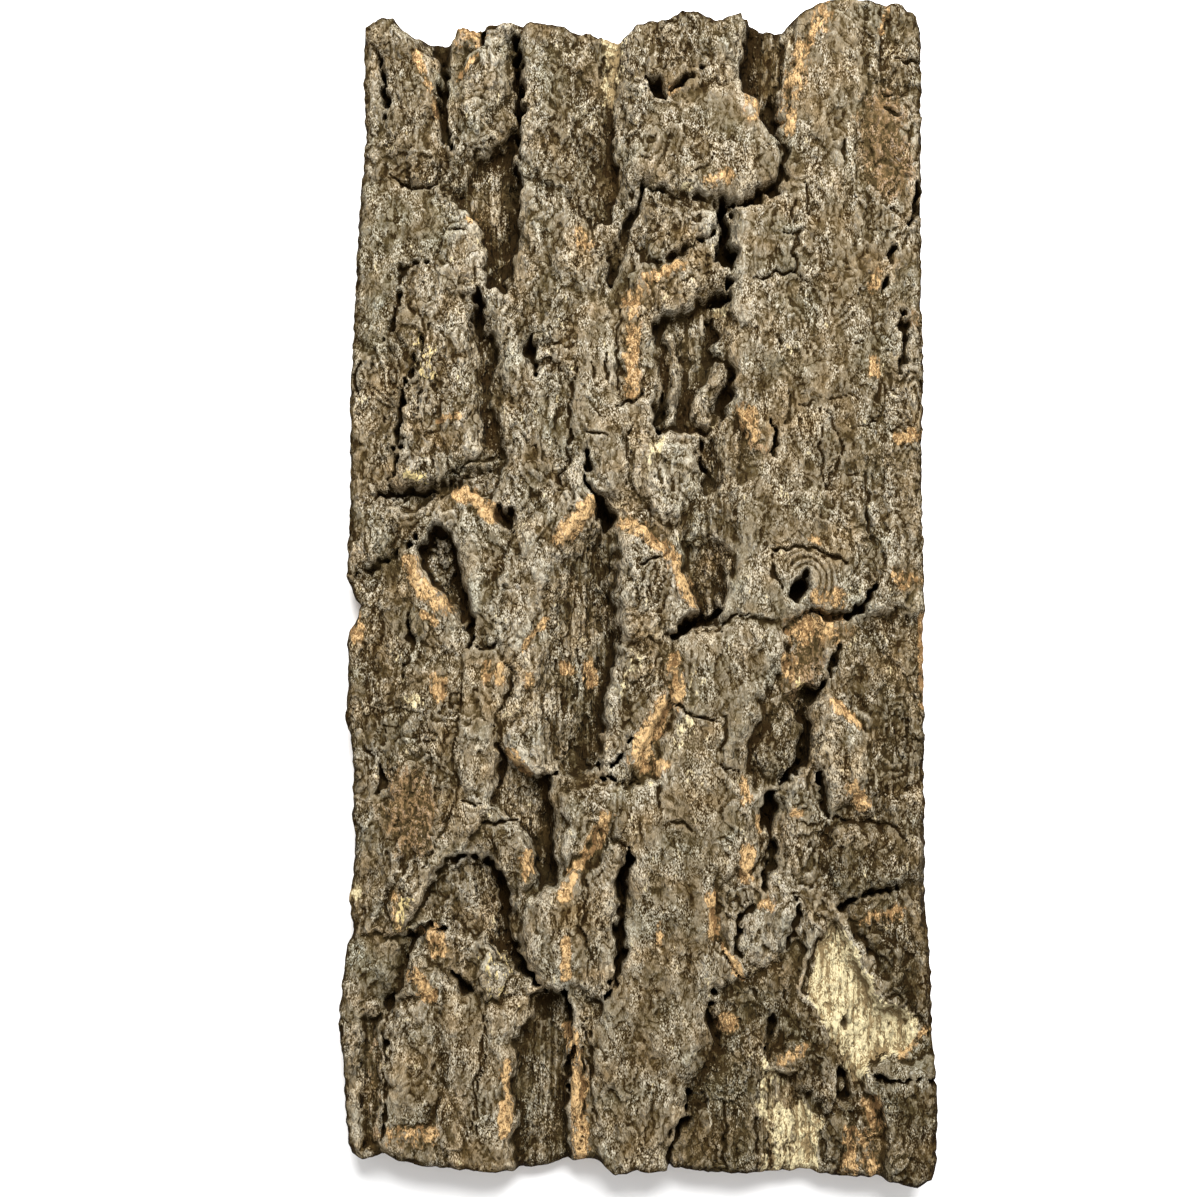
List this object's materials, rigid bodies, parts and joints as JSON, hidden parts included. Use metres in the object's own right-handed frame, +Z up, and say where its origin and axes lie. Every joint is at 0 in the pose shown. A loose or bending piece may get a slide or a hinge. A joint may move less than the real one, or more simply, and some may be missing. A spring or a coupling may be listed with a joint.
{
  "type": "cork bark slab",
  "caption": "Flat rectangular slab of natural cork bark with a flat back and deeply fissured bark plates on its upper face, for display or planted backgrounds",
  "frame": {"origin": "Middle of the flat back, on the surface the slab lies on", "axes": "+X across the slab, +Y along its length, +Z up out of the bark face"},
  "size_m": [0.3038, 0.6162, 0.035],
  "materials": {
    "bark": "raw weathered cork bark, matte"
  },
  "bodies": {
    "root": {"cork_bark_slab": "bark"}
  },
  "joints": []
}
